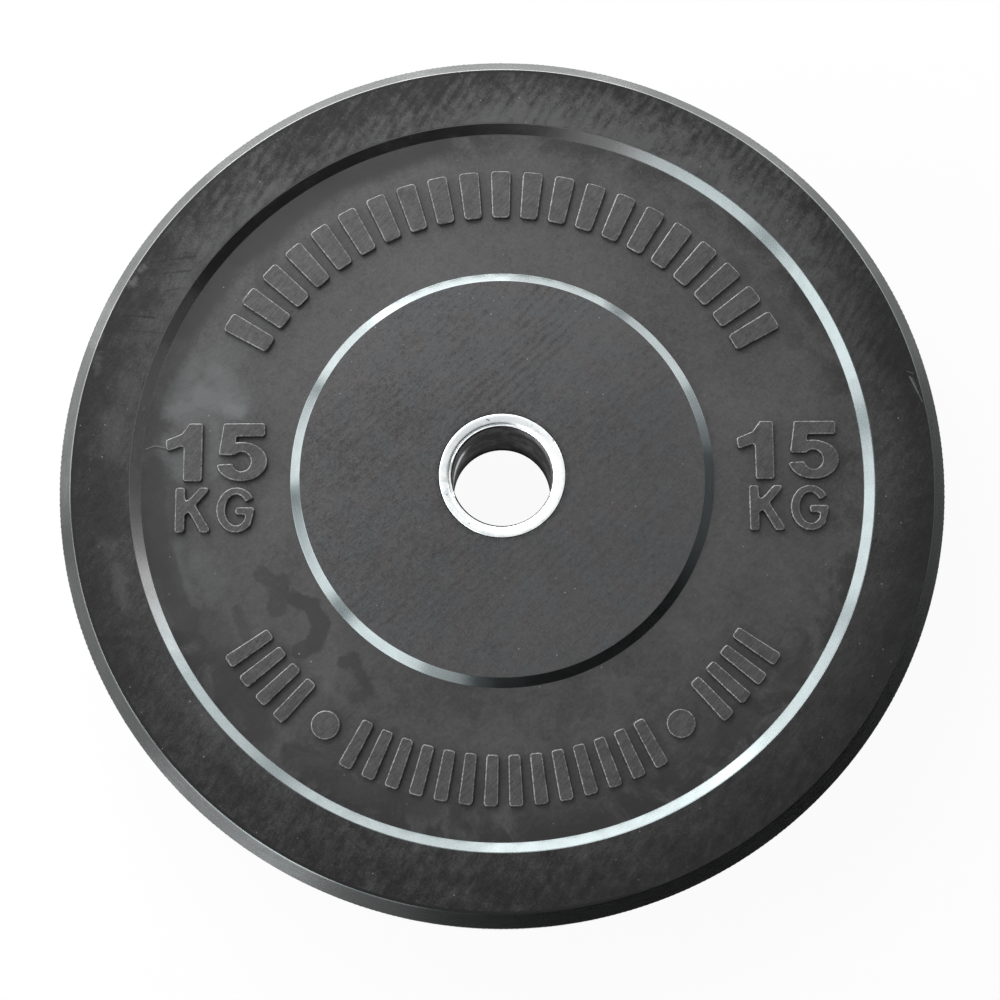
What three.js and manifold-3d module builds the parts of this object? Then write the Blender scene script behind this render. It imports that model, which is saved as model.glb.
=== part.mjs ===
// Rubber bumper plate for a weightlifting bar: a moulded disc on a welded steel sleeve and anchor ring.
// Millimetres, +Z along the bore. The plate lies flat on its back rim, with its marks upright along +Y.
import * as THREE from 'three';
import { mergeVertices } from 'three/addons/utils/BufferGeometryUtils.js';
import Module from 'manifold-3d';

// The plate's outline, the same on its front and its back
const plateDiameter = 450;
const plateThickness = 62;
const edgeChamferWidth = 7.6;
const edgeChamferDepth = 7.8;
const rimBandWidth = 29.2;
const rimStepWidth = 4.8;
const webDepth = 4.2;
const hubFaceDiameter = 204.6;
const hubStepWidth = 5;
const hubSetback = 0.5;

// The steel sleeve that slides on the bar, with a flat land and a rounded lead-in at each end
const boreDiameter = 51;
const sleeveWall = 6.5;
const sleeveLandWidth = 1.2;
const leadInDepth = 4;

// The anchor ring, which is welded round the sleeve and buried in the rubber
const anchorWidth = 42.7;
const anchorThickness = 6;
const anchorHoleCount = 8;
const anchorHoleDiameter = 16;
const weldLeg = 5;

// Gap between the moulded and welded pieces, and how far joined solids reach into each other
const seatGap = 0.3;
const overrun = 0.6;

// The raised weight marks, left and right of the hub
const reliefHeight = 1.8;
const figureHeight = 30;
const unitHeight = 23;
const markRowGap = 3.6;
const figureGap = 7.2;
const unitGap = 3.7;

// Two arcs of plain raised ribs, above and below the hub, and the round dots in the lower one
const upperRib = { inset: 21, length: 25, width: 9.4, gap: 6.2, corner: 2.2 };
const lowerRib = { inset: 17.5, length: 25, width: 6.2, gap: 5.4, corner: 1.8 };
const upperArcHalfAngle = THREE.MathUtils.degToRad(62);
const lowerArcHalfAngle = THREE.MathUtils.degToRad(57);
const dotAngle = THREE.MathUtils.degToRad(35);
const dotDiameter = 14;

// Facets of a full turn, of a hole, of the lead-in, and of half a curve or a rounded corner
const plateSegments = 96;
const steelSegments = 48;
const holeSegments = 16;
const leadInSegments = 5;
const curveSegments = 7;
const cornerSegments = 1;

// Worked out from the sizes above
const plateRadius = plateDiameter / 2;
const rimOuterRadius = plateRadius - edgeChamferWidth;
const rimInnerRadius = rimOuterRadius - rimBandWidth;
const webOuterRadius = rimInnerRadius - rimStepWidth;
const hubFaceRadius = hubFaceDiameter / 2;
const webInnerRadius = hubFaceRadius + hubStepWidth;
const webMiddleRadius = (webInnerRadius + webOuterRadius) / 2;
const rimHeight = plateThickness / 2;
const webHeight = rimHeight - webDepth;
const hubHeight = rimHeight - hubSetback;
const boreRadius = boreDiameter / 2;
const sleeveRadius = boreRadius + sleeveWall;
const pocketRadius = sleeveRadius + seatGap;
const weldRadius = pocketRadius + weldLeg;
const anchorRadius = pocketRadius + anchorWidth;
const anchorHoleCircleRadius = (weldRadius + anchorRadius) / 2;
const anchorHeight = anchorThickness / 2;
const quarterTurn = Math.PI / 2;

const wasm = await Module();
wasm.setup();

function toManifold(geometry) {
  const bare = geometry.clone();
  bare.deleteAttribute('normal');
  bare.deleteAttribute('uv');
  const merged = mergeVertices(bare);
  return new wasm.Manifold(new wasm.Mesh({
    numProp: 3,
    vertProperties: new Float32Array(merged.attributes.position.array),
    triVerts: new Uint32Array(merged.index.array),
  }));
}

function toGeometry(manifold) {
  const mesh = manifold.getMesh();
  const geometry = new THREE.BufferGeometry();
  geometry.setAttribute('position', new THREE.BufferAttribute(mesh.vertProperties, 3));
  geometry.setIndex(new THREE.BufferAttribute(mesh.triVerts, 1));
  return geometry;
}

// A ring turned about the bore from a closed profile of [radius, height] corners, run counter-clockwise
function turnedRing(corners, segments) {
  const closed = [...corners, corners[0]];
  const profile = closed.map(([radius, height]) => new THREE.Vector2(radius, height));
  return new THREE.LatheGeometry(profile, segments).rotateX(quarterTurn);
}

// The lower half of a profile is its upper half mirrored at the plate's middle
function mirroredProfile(upperHalf) {
  const lowerHalf = upperHalf.map(([radius, height]) => [radius, -height]).reverse();
  return [...lowerHalf, ...upperHalf];
}

function uprightCylinder(radius, height, segments) {
  return new THREE.CylinderGeometry(radius, radius, height, segments).rotateX(quarterTurn);
}

// Round places in the anchor ring, evenly spaced
function anchorHoleCentres() {
  return Array.from({ length: anchorHoleCount }, (_, i) => {
    const angle = (i + 0.5) * 2 * Math.PI / anchorHoleCount;
    return [anchorHoleCircleRadius * Math.cos(angle), anchorHoleCircleRadius * Math.sin(angle)];
  });
}

// A closed outline through straight corners, each one rounded off
function roundedOutline(corners, radius) {
  const points = corners.map(([x, y]) => new THREE.Vector2(x, y));
  const shape = new THREE.Shape();
  points.forEach((corner, i) => {
    const before = points.at(i - 1);
    const after = points[(i + 1) % points.length];
    const entry = before.clone().sub(corner).setLength(radius).add(corner);
    const exit = after.clone().sub(corner).setLength(radius).add(corner);
    if (i === 0) {
      shape.moveTo(entry.x, entry.y);
    } else {
      shape.lineTo(entry.x, entry.y);
    }
    shape.quadraticCurveTo(corner.x, corner.y, exit.x, exit.y);
  });
  shape.closePath();
  return shape;
}

// The four characters, drawn as shares of their own height, with turns counted from the right
const oneShares = {
  width: 0.62,
  corners: [
    [0.31, 0], [0.62, 0], [0.62, 1], [0.40, 1], [0.27, 0.82], [0, 0.71], [0.02, 0.52], [0.31, 0.63],
  ],
  corner: 0.025,
};
const kayShares = {
  width: 0.80,
  corners: [
    [0, 0], [0.2, 0], [0.2, 0.38], [0.29, 0.48], [0.57, 0], [0.80, 0],
    [0.43, 0.61], [0.78, 1], [0.54, 1], [0.2, 0.62], [0.2, 1], [0, 1],
  ],
  corner: 0.04,
};
const fiveShares = {
  width: 0.87,
  flagLeft: 0.13,
  flagRight: 0.83,
  flagTop: 1,
  flagFoot: 0.78,
  neckRight: 0.34,
  bowlCentre: [0.44, 0.335],
  outerBowl: [0.43, 0.335],
  innerBowl: [0.165, 0.175],
  lipLeft: [0.02, 0.28],
  waistLeft: [0.05, 0.455],
};
const fiveTurns = { neck: 0.29, innerUpper: 0.38, innerLower: 0.54, outerLower: 0.56 };
const geeShares = {
  width: 0.84,
  bowlCentre: [0.43, 0.5],
  outerBowl: [0.43, 0.5],
  innerBowl: [0.25, 0.355],
  barTop: 0.55,
  barFoot: 0.40,
  barLeft: 0.42,
  barRight: 0.84,
  stemLeft: 0.66,
};
const geeTurns = { upper: 0.09, lower: 0.88 };

// Every length of an outline, taken from shares to real size
function sized(shares, height) {
  if (Array.isArray(shares)) {
    return shares.map((share) => sized(share, height));
  }
  if (typeof shares === 'object') {
    return Object.fromEntries(Object.entries(shares).map(([name, share]) => [name, sized(share, height)]));
  }
  return shares * height;
}

function ellipsePoint(centre, radii, turn) {
  const angle = turn * 2 * Math.PI;
  return [centre[0] + radii[0] * Math.cos(angle), centre[1] + radii[1] * Math.sin(angle)];
}

function ellipseArc(shape, centre, radii, fromTurn, toTurn, clockwise) {
  const start = fromTurn * 2 * Math.PI;
  const end = toTurn * 2 * Math.PI;
  shape.absellipse(centre[0], centre[1], radii[0], radii[1], start, end, clockwise);
}

// Figure 5: a flag, a neck and an open bowl between two ellipses
function fiveOutline(size) {
  const shape = new THREE.Shape();
  shape.moveTo(size.flagLeft, size.flagTop);
  shape.lineTo(...size.waistLeft);
  shape.lineTo(...ellipsePoint(size.bowlCentre, size.innerBowl, fiveTurns.innerUpper));
  ellipseArc(shape, size.bowlCentre, size.innerBowl, fiveTurns.innerUpper, fiveTurns.innerLower, true);
  shape.lineTo(...size.lipLeft);
  shape.lineTo(...ellipsePoint(size.bowlCentre, size.outerBowl, fiveTurns.outerLower));
  ellipseArc(shape, size.bowlCentre, size.outerBowl, fiveTurns.outerLower, fiveTurns.neck, false);
  shape.lineTo(size.neckRight, size.flagFoot);
  shape.lineTo(size.flagRight, size.flagFoot);
  shape.lineTo(size.flagRight, size.flagTop);
  shape.closePath();
  return shape;
}

// Letter G: an open ring between two ellipses, with a bar and a short stem
function geeOutline(size) {
  const shape = new THREE.Shape();
  shape.moveTo(...ellipsePoint(size.bowlCentre, size.outerBowl, geeTurns.upper));
  ellipseArc(shape, size.bowlCentre, size.outerBowl, geeTurns.upper, geeTurns.lower, false);
  shape.lineTo(size.barRight, size.barTop);
  shape.lineTo(size.barLeft, size.barTop);
  shape.lineTo(size.barLeft, size.barFoot);
  shape.lineTo(size.stemLeft, size.barFoot);
  shape.lineTo(...ellipsePoint(size.bowlCentre, size.innerBowl, geeTurns.lower));
  ellipseArc(shape, size.bowlCentre, size.innerBowl, geeTurns.lower, geeTurns.upper, true);
  shape.closePath();
  return shape;
}

function straightOutline(size) {
  return roundedOutline(size.corners, size.corner);
}

const figureRow = [
  { shares: oneShares, outline: straightOutline, segments: cornerSegments },
  { shares: fiveShares, outline: fiveOutline, segments: curveSegments },
];
const unitRow = [
  { shares: kayShares, outline: straightOutline, segments: cornerSegments },
  { shares: geeShares, outline: geeOutline, segments: curveSegments },
];

// A flat-topped relief on the front web, rooted a little way into the rubber
function raisedRelief(shape, segments) {
  const depth = overrun + reliefHeight;
  const settings = { depth, bevelEnabled: false, curveSegments: segments };
  return new THREE.ExtrudeGeometry(shape, settings).translate(0, 0, webHeight - overrun);
}

// One row of characters, centred left to right on the mark and standing on its baseline
function characterRow(characters, height, gap, baseline, centreX) {
  const widths = characters.map((character) => character.shares.width * height);
  const rowWidth = widths.reduce((sum, width) => sum + width, gap * (characters.length - 1));
  let left = centreX - rowWidth / 2;
  return characters.map((character, i) => {
    const shape = character.outline(sized(character.shares, height));
    const solid = raisedRelief(shape, character.segments).translate(left, baseline, 0);
    left += widths[i] + gap;
    return solid;
  });
}

function weightMark(centreX) {
  const markHeight = figureHeight + markRowGap + unitHeight;
  const unitBaseline = -markHeight / 2;
  const figureBaseline = unitBaseline + unitHeight + markRowGap;
  return [
    ...characterRow(figureRow, figureHeight, figureGap, figureBaseline, centreX),
    ...characterRow(unitRow, unitHeight, unitGap, unitBaseline, centreX),
  ];
}

function ribMiddleRadius(size) {
  return webOuterRadius - size.inset - size.length / 2;
}

// A rib that points at the bore and narrows towards it, so that its sides lie along the radius
function rib(size, angle) {
  const middle = ribMiddleRadius(size);
  const inner = middle - size.length / 2;
  const outer = middle + size.length / 2;
  const innerHalf = size.width / 2 * inner / middle;
  const outerHalf = size.width / 2 * outer / middle;
  const corners = [[inner, -innerHalf], [outer, -outerHalf], [outer, outerHalf], [inner, innerHalf]];
  return raisedRelief(roundedOutline(corners, size.corner), cornerSegments).rotateZ(angle);
}

// Ribs at an even pitch, centred between two angles
function ribsBetween(size, start, end) {
  const step = (size.width + size.gap) / ribMiddleRadius(size);
  const count = Math.floor((end - start) / step) + 1;
  const first = (start + end) / 2 - step * (count - 1) / 2;
  return Array.from({ length: count }, (_, i) => rib(size, first + i * step));
}

function dot(angle) {
  const radius = ribMiddleRadius(lowerRib);
  const shape = new THREE.Shape().absarc(0, 0, dotDiameter / 2, 0, 2 * Math.PI, false);
  const solid = raisedRelief(shape, curveSegments);
  return solid.translate(radius * Math.cos(angle), radius * Math.sin(angle), 0);
}

function ribArcs() {
  const top = quarterTurn;
  const bottom = -quarterTurn;
  const dotClear = (dotDiameter + lowerRib.width) / 2 + lowerRib.gap;
  const dotSpan = dotClear / ribMiddleRadius(lowerRib);
  return [
    ...ribsBetween(upperRib, top - upperArcHalfAngle, top + upperArcHalfAngle),
    ...ribsBetween(lowerRib, bottom - lowerArcHalfAngle, bottom - dotAngle - dotSpan),
    ...ribsBetween(lowerRib, bottom - dotAngle + dotSpan, bottom + dotAngle - dotSpan),
    ...ribsBetween(lowerRib, bottom + dotAngle + dotSpan, bottom + lowerArcHalfAngle),
    dot(bottom - dotAngle),
    dot(bottom + dotAngle),
  ];
}

// The back carries the same relief, turned about the upright axis so that it reads right from behind
function reliefOnBothFaces() {
  const front = [...weightMark(-webMiddleRadius), ...weightMark(webMiddleRadius), ...ribArcs()];
  const back = front.map((geometry) => geometry.clone().rotateY(Math.PI));
  return [...front, ...back];
}

// Moulded rubber: rim, web and hub, with a pocket that fits the sleeve, the welds and the anchor ring
function rubberBody() {
  const disc = turnedRing(mirroredProfile([
    [plateRadius, rimHeight - edgeChamferDepth],
    [rimOuterRadius, rimHeight],
    [rimInnerRadius, rimHeight],
    [webOuterRadius, webHeight],
    [webInnerRadius, webHeight],
    [hubFaceRadius, hubHeight],
    [pocketRadius, hubHeight],
    [pocketRadius, anchorHeight + weldLeg + seatGap],
    [weldRadius + seatGap, anchorHeight],
    [anchorRadius + seatGap, anchorHeight],
  ]), plateSegments);
  const pegRadius = anchorHoleDiameter / 2 - seatGap;
  const pegHeight = anchorThickness + 2 * overrun;
  const pegs = anchorHoleCentres().map(([x, y]) =>
    uprightCylinder(pegRadius, pegHeight, holeSegments).translate(x, y, 0));
  return [...pegs, ...reliefOnBothFaces()].reduce(
    (body, added) => body.add(toManifold(added)), toManifold(disc));
}

// Steel sleeve, flush with both hub faces. Each lead-in is a quarter ellipse from the land into the bore.
function hubSleeve() {
  const landRadius = sleeveRadius - sleeveLandWidth;
  const leadIn = Array.from({ length: leadInSegments + 1 }, (_, i) => {
    const turn = quarterTurn * i / leadInSegments;
    const radius = landRadius - (landRadius - boreRadius) * Math.sin(turn);
    return [radius, hubHeight - leadInDepth * (1 - Math.cos(turn))];
  });
  return toManifold(turnedRing(mirroredProfile([[sleeveRadius, hubHeight], ...leadIn]), steelSegments));
}

// Flat steel ring at the middle of the thickness, with holes that the rubber flows through
function anchorRing() {
  const ring = turnedRing(mirroredProfile([
    [anchorRadius, anchorHeight],
    [pocketRadius, anchorHeight],
  ]), steelSegments);
  const drillDepth = anchorThickness + 2 * overrun;
  return anchorHoleCentres().reduce((body, [x, y]) => {
    const drill = uprightCylinder(anchorHoleDiameter / 2, drillDepth, holeSegments).translate(x, y, 0);
    return body.subtract(toManifold(drill));
  }, toManifold(ring));
}

// Fillet weld between the sleeve and one face of the anchor ring
function weldBead() {
  return toManifold(turnedRing([
    [pocketRadius, anchorHeight],
    [weldRadius, anchorHeight],
    [pocketRadius, anchorHeight + weldLeg],
  ], steelSegments));
}

const blackRubber = { color: 0x1e1f20, roughness: 0.7, metalness: 0 };
const platedSteel = { color: 0xc8cccd, roughness: 0.3, metalness: 1 };
const bareSteel = { color: 0x7d7f80, roughness: 0.5, metalness: 1 };
const weldMetal = { color: 0x5c5a58, roughness: 0.65, metalness: 1 };

function namedPiece(name, solid, finish) {
  const piece = new THREE.Mesh(toGeometry(solid), new THREE.MeshStandardMaterial(finish));
  piece.name = name;
  return piece;
}

const frontWeld = namedPiece('weld_bead_front', weldBead(), weldMetal);
const backWeld = namedPiece('weld_bead_back', weldBead(), weldMetal);
backWeld.rotation.y = Math.PI;

const group = new THREE.Group();
group.position.z = rimHeight;
group.add(
  namedPiece('rubber_body', rubberBody(), blackRubber),
  namedPiece('hub_sleeve', hubSleeve(), platedSteel),
  namedPiece('anchor_ring', anchorRing(), bareSteel),
  frontWeld,
  backWeld,
);

export default group;
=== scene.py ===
# Black rubber bumper plate lying face up on a pale studio floor
import math
from functools import partial, reduce

import bpy
import numpy as np
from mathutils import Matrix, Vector


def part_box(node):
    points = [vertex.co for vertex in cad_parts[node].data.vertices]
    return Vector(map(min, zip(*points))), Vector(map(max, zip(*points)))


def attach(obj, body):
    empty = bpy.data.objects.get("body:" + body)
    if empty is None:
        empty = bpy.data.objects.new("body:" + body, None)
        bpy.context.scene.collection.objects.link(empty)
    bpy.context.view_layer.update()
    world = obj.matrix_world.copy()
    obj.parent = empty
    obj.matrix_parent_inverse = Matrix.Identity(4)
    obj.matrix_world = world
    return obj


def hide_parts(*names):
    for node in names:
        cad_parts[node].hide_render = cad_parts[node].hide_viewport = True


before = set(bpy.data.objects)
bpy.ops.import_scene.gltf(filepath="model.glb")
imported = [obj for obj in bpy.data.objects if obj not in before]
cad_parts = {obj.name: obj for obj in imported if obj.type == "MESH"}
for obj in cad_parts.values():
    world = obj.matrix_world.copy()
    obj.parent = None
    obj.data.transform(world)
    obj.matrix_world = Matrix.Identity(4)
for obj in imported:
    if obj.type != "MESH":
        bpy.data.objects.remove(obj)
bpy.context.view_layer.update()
print("bumper plate: frame loaded")

mm = 0.001  # every length below is in millimetres times this
low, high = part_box("rubber_body")
plateRadius = (high[0] - low[0]) / 2
faceHeight = (high[2] - low[2]) / 2
middleHeight = (high[2] + low[2]) / 2
faceTop = high[2]
webDepth = 4.2 * mm
webHeight = faceHeight - webDepth
turn = 2 * math.pi
dice = np.random.default_rng(15)


# Each sharp corner becomes a quadratic blend of a point before it, the corner itself and a point
# after it. Both lie off the corner by the radius times the cosine of half the corner's angle over
# its squared sine, which makes the tightest bend that radius.
def roundCorners(corners, radius, steps):
    corners = np.asarray(corners, float)
    back = np.roll(corners, 1, axis=0) - corners
    on = np.roll(corners, -1, axis=0) - corners
    backLength, onLength = np.linalg.norm(back, axis=1), np.linalg.norm(on, axis=1)
    cosine = np.clip(np.sum(back * on, axis=1) / (backLength * onLength), -1, 1)
    halfAngle = np.arccos(cosine) / 2
    leg = np.asarray(radius) * np.cos(halfAngle) / np.sin(halfAngle) ** 2
    sharp = halfAngle < math.radians(80)
    entry = corners + back * np.minimum(leg / backLength, 0.48)[:, None]
    leave = corners + on * np.minimum(leg / onLength, 0.48)[:, None]
    t = np.linspace(0, 1, steps)[None, :, None]
    curve = entry[:, None] * (1 - t) ** 2 + 2 * corners[:, None] * t * (1 - t) + leave[:, None] * t ** 2
    curve[~sharp, 0] = corners[~sharp]
    kept = np.broadcast_to(sharp[:, None], curve.shape[:2]).copy()
    kept[:, 0] = True
    return curve[kept]


# Long sides of a closed outline are cut into even steps, with a short one at each end so that a
# flat's shading stays flat up to its rounded edge.
def cutLongSides(outline, longest, margin):
    side = np.roll(outline, -1, axis=0) - outline
    length = np.linalg.norm(side, axis=1)
    pieces = []
    for start, vector, reach in zip(outline, side, length):
        shares = np.zeros(1)
        if reach >= 3 * margin:
            count = max(2, math.ceil((reach - 2 * margin) / longest) + 1)
            shares = np.append(shares, np.linspace(margin / reach, 1 - margin / reach, count))
        pieces.append(start + shares[:, None] * vector)
    return np.concatenate(pieces)


# Quads of a grid whose rows and columns both close on themselves
def ringQuads(rows, columns):
    i, j = np.meshgrid(np.arange(rows), np.arange(columns), indexing="ij")
    nextI, nextJ = (i + 1) % rows, (j + 1) % columns
    corners = [i * columns + j, i * columns + nextJ, nextI * columns + nextJ, nextI * columns + j]
    return np.stack(corners, axis=-1).reshape(-1, 4)


def addObject(name, data):
    thing = bpy.data.objects.new(name, data)
    bpy.context.scene.collection.objects.link(thing)
    return thing


# Vertices, quads and any larger flat faces become one smooth mesh object
def makePiece(name, vertices, quads, finishes, flats=(), finishOfQuad=None, standsFor="rubber_body"):
    mesh = bpy.data.meshes.new(name)
    loops = np.concatenate([quads.ravel()] + [np.asarray(face) for face in flats])
    totals = np.concatenate([np.full(len(quads), 4), [len(face) for face in flats]]).astype(np.int32)
    starts = np.concatenate([[0], np.cumsum(totals)[:-1]]).astype(np.int32)
    mesh.vertices.add(len(vertices))
    mesh.vertices.foreach_set("co", vertices.astype(np.float32).ravel())
    mesh.loops.add(len(loops))
    mesh.loops.foreach_set("vertex_index", loops.astype(np.int32))
    mesh.polygons.add(len(totals))
    for key, values in (("loop_start", starts), ("loop_total", totals), ("use_smooth", totals == 4)):
        mesh.polygons.foreach_set(key, values)
    for finish in finishes:
        mesh.materials.append(finish)
    if finishOfQuad is not None:
        mesh.polygons.foreach_set("material_index", finishOfQuad.astype(np.int32))
    mesh.update(calc_edges=True)
    mesh.validate()
    piece = addObject(name, mesh)
    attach(piece, "root")
    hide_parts(standsFor)
    print(f"bumper plate: {name}, {len(vertices)} points")


# A closed profile of radius and height, carried round the bore: x and y are the radius times
# the cosine and sine of the angle.
def turned(radius, height, angle):
    return np.stack([radius * np.cos(angle), radius * np.sin(angle), height + 0 * angle], axis=-1)


# The steel sleeve's sizes, for its finishes too. The lip is in millimetres outwards from the mouth
# and up from the roll's end. The groove fades in and out between four turns in degrees, and its
# shares say how far the outline's last points follow it: down at its foot, up at the lip.
sleeve = {
    "bore": 25.5 * mm, "wall": 6.5 * mm, "land": 1.2 * mm, "leadIn": 1.9 * mm, "leadOut": 6 * mm,
    "setback": 0.5 * mm, "rollEnd": 27.1 * mm, "mouth": 25.95 * mm, "groove": 0.55 * mm, "angles": 480,
    "lip": [(1, -0.16), (0.85, -0.2), (0.65, -0.24), (0.35, -0.32), (0, -0.5), (-0.2, -0.8), (-0.45, -1.6)],
    "grooveTurns": [70, 98, 146, 172], "grooveShares": [-0.35, -1, -0.9, -0.1, 0.3, 0.25, 0.1, 0],
    "longestStep": 6 * mm, "shortStep": 0.3 * mm,
}


# Finishes. A helper adds its node to the tree that its first argument is in. What feeds a node is a
# socket of another one or a plain value.
def feed(node, inputs):
    for key, value in inputs.items():
        if isinstance(value, bpy.types.NodeSocket):
            node.id_data.links.new(value, node.inputs[key])
        else:
            node.inputs[key].default_value = value


def addNode(beside, kind, inputs=None, **settings):
    node = beside.id_data.nodes.new(kind)
    for key, value in settings.items():
        setattr(node, key, value)
    feed(node, inputs or {})
    return node


def calc(operation, first, second=0, third=0):
    return addNode(first, "ShaderNodeMath", {0: first, 1: second, 2: third}, operation=operation).outputs[0]


times, plus, minus, larger = [partial(calc, kind) for kind in ("MULTIPLY", "ADD", "SUBTRACT", "MAXIMUM")]


def vectorCalc(operation, first, inputs, output=0):
    return addNode(first, "ShaderNodeVectorMath", {0: first, **inputs}, operation=operation).outputs[output]


def axesOf(place):
    return addNode(place, "ShaderNodeSeparateXYZ", {0: place}).outputs


def blend(share, first, second):
    inputs = {"Factor": share, 6: first, 7: second}
    return addNode(share, "ShaderNodeMix", inputs, data_type="RGBA").outputs[2]


def remap(value, fromLow, fromHigh, toLow=0, toHigh=1):
    inputs = {"Value": value, "From Min": fromLow, "From Max": fromHigh, "To Min": toLow, "To Max": toHigh}
    return addNode(value, "ShaderNodeMapRange", inputs, interpolation_type="SMOOTHSTEP").outputs[0]


def noise(place, size, detail=4, roughness=0.55, distortion=0):
    inputs = {"Vector": place, "Scale": 1 / size, "Detail": detail, "Roughness": roughness,
              "Distortion": distortion}
    return addNode(place, "ShaderNodeTexNoise", inputs).outputs["Fac"]


def grey(value, blue=1, red=1):
    return (value * red, value, value * blue, 1)


def startFinish(name):
    finish = bpy.data.materials.new(name)
    finish.use_nodes = True
    shader = finish.node_tree.nodes["Principled BSDF"]
    return finish, shader, addNode(shader, "ShaderNodeTexCoord").outputs["Object"]


# Bumps laid over each other: each is a height and how far it stands out
def bumps(*layers):
    normal = None
    for height, distance in layers:
        inputs = {"Height": height, "Distance": distance, "Strength": 1}
        if normal is not None:
            inputs["Normal"] = normal
        normal = addNode(height, "ShaderNodeBump", inputs).outputs["Normal"]
    return normal


# Distance from a straight stroke: the nearest share of the way along it, held between its ends,
# gives the point that is measured to.
def strokeDistance(place, start, end):
    start, end = Vector(start), Vector(end)
    along = end - start
    offset = vectorCalc("SUBTRACT", place, {1: start})
    share = vectorCalc("DOT_PRODUCT", offset, {1: along / along.length_squared}, "Value")
    held = addNode(share, "ShaderNodeClamp", {"Value": share}).outputs[0]
    nearest = addNode(held, "ShaderNodeVectorMath", {0: along, "Scale": held}, operation="SCALE").outputs[0]
    return vectorCalc("DISTANCE", offset, {1: nearest}, "Value")


# Strokes of one kind together: each is two points in millimetres, a half width and a strength, and
# the strongest counts. Their edges wander with the noise given.
def strokes(place, level, marksList, softness, wander):
    painted = []
    for x0, y0, x1, y1, halfWidth, strength in marksList:
        gap = plus(strokeDistance(place, (x0 * mm, y0 * mm, level), (x1 * mm, y1 * mm, level)), wander)
        painted.append(remap(gap, (halfWidth + softness) * mm, (halfWidth - softness) * mm, 0, strength))
    return reduce(larger, painted)


# The wandering of a stroke's edge: waves of a size that reach so far to both sides together
def wanderOf(place, size, reach):
    return times(minus(noise(place, size, 5, 0.68, 0.6), 0.5), reach)


# Distance from the bore's centre line: the root of x squared plus y squared
def reachFromBore(place):
    x, y, z = axesOf(place)
    return calc("SQRT", plus(calc("POWER", x, 2), calc("POWER", y, 2))), x, y, z


# A texture's own place: turned about the plate's axis and drawn out along x, y and z
def layOut(place, turning=0, lengths=(1, 1, 1)):
    inputs = {"Vector": place, "Rotation": (0, 0, turning), "Scale": lengths}
    return addNode(place, "ShaderNodeMapping", inputs, vector_type="TEXTURE").outputs[0]


# Noise drawn out along one diagonal, as the mould cloth's weave was
def clothLines(place, turnOfCloth, long, wide):
    return noise(layOut(place, turnOfCloth, (long, wide, wide)), 1, 3, 0.5)


# The wrap's edges: thin bands across the cloth's direction, one every pitch, bent by a slow noise.
# A wave texture repeats every tenth of pi over its scale.
def wrapLines(place, turnOfCloth, pitch):
    inputs = {"Vector": layOut(place, turnOfCloth), "Scale": math.pi / (10 * pitch), "Distortion": 3.6,
              "Detail": 2.5, "Detail Scale": 1.2}
    wave = addNode(place, "ShaderNodeTexWave", inputs, wave_type="BANDS", bands_direction="Y")
    return remap(wave.outputs["Fac"], 0.2, 1)


# Pale specks of dust: in some of a Voronoi texture's cells, the middle
def specks(place, share, cloud):
    fleck = addNode(place, "ShaderNodeTexVoronoi", {"Vector": place, "Scale": 1 / (6 * mm)}).outputs
    chance = addNode(place, "ShaderNodeSeparateColor", {0: fleck["Color"]}).outputs[0]
    dusty = times(remap(fleck["Distance"], 0.07, 0.03), calc("LESS_THAN", chance, share))
    return times(dusty, remap(cloud, 0.42, 0.6, 0.2, 1))


# Tones are added up as parts of one sum and the sum picks a grey between dark and light
def sumOf(*parts):
    return reduce(plus, (times(value, weight) for value, weight in parts))


# Rim band and hub face: black rubber with a wrinkled skin, the mould cloth's faint print and wear.
# The tone is wrinkles, fine and broad cloth lines, mottling, clouds and grain added together. A pair
# of reaches from the bore's centre line says where a tone starts and is full.
hubRubber = {
    "dark": 0.012, "light": 0.061, "clothTurn": math.radians(43), "wrinkles": 0.34, "fineLines": 0.19,
    "broadLines": 0.11, "mottle": 0.14, "cloud": 0.1, "grain": 0.18, "cloudSize": 60 * mm,
    "mottleSize": 7 * mm, "broadLong": 22 * mm, "broadWide": 3.4 * mm, "wrap": 0.055, "wrapPitch": 4.4 * mm,
    "wrapped": [(-10, 34, 32, 98, 16, 1), (-70, 10, -20, 92, 16, 0.5), (34, 20, 75, 55, 14, 0.4),
                (-60, -60, 60, -25, 22, 0.3)],
    "relief": 0.08 * mm, "glossLow": 0.44, "glossHigh": 0.6, "specular": 0.4, "contrast": (1, 1, 1),
    # lift is painted light: the tone at the bottom and at the top, and the heights in y where it starts and
    # is full
    "lift": (-0.014, 0.03, 10 * mm, 70 * mm), "calm": (-100 * mm, 100 * mm, 1.3, 0.7),
    "fadeSides": 0, "fadeTop": 0, "fadeReach": (217 * mm, 190 * mm), "shade": 0,
    "shadeReach": (214 * mm, 202 * mm), "edge": 0, "edgeReach": (216.2 * mm, 217.1 * mm), "grime": 0.12,
    "grimeReach": (35.5 * mm, 32.4 * mm), "fleck": 0.26, "smear": 0.1, "nickHighlight": 0.16,
    "warm": (1.04, 0.99, 1, 1), "cool": (0.95, 1, 1.05, 1), "scuffs": [],
}
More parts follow.
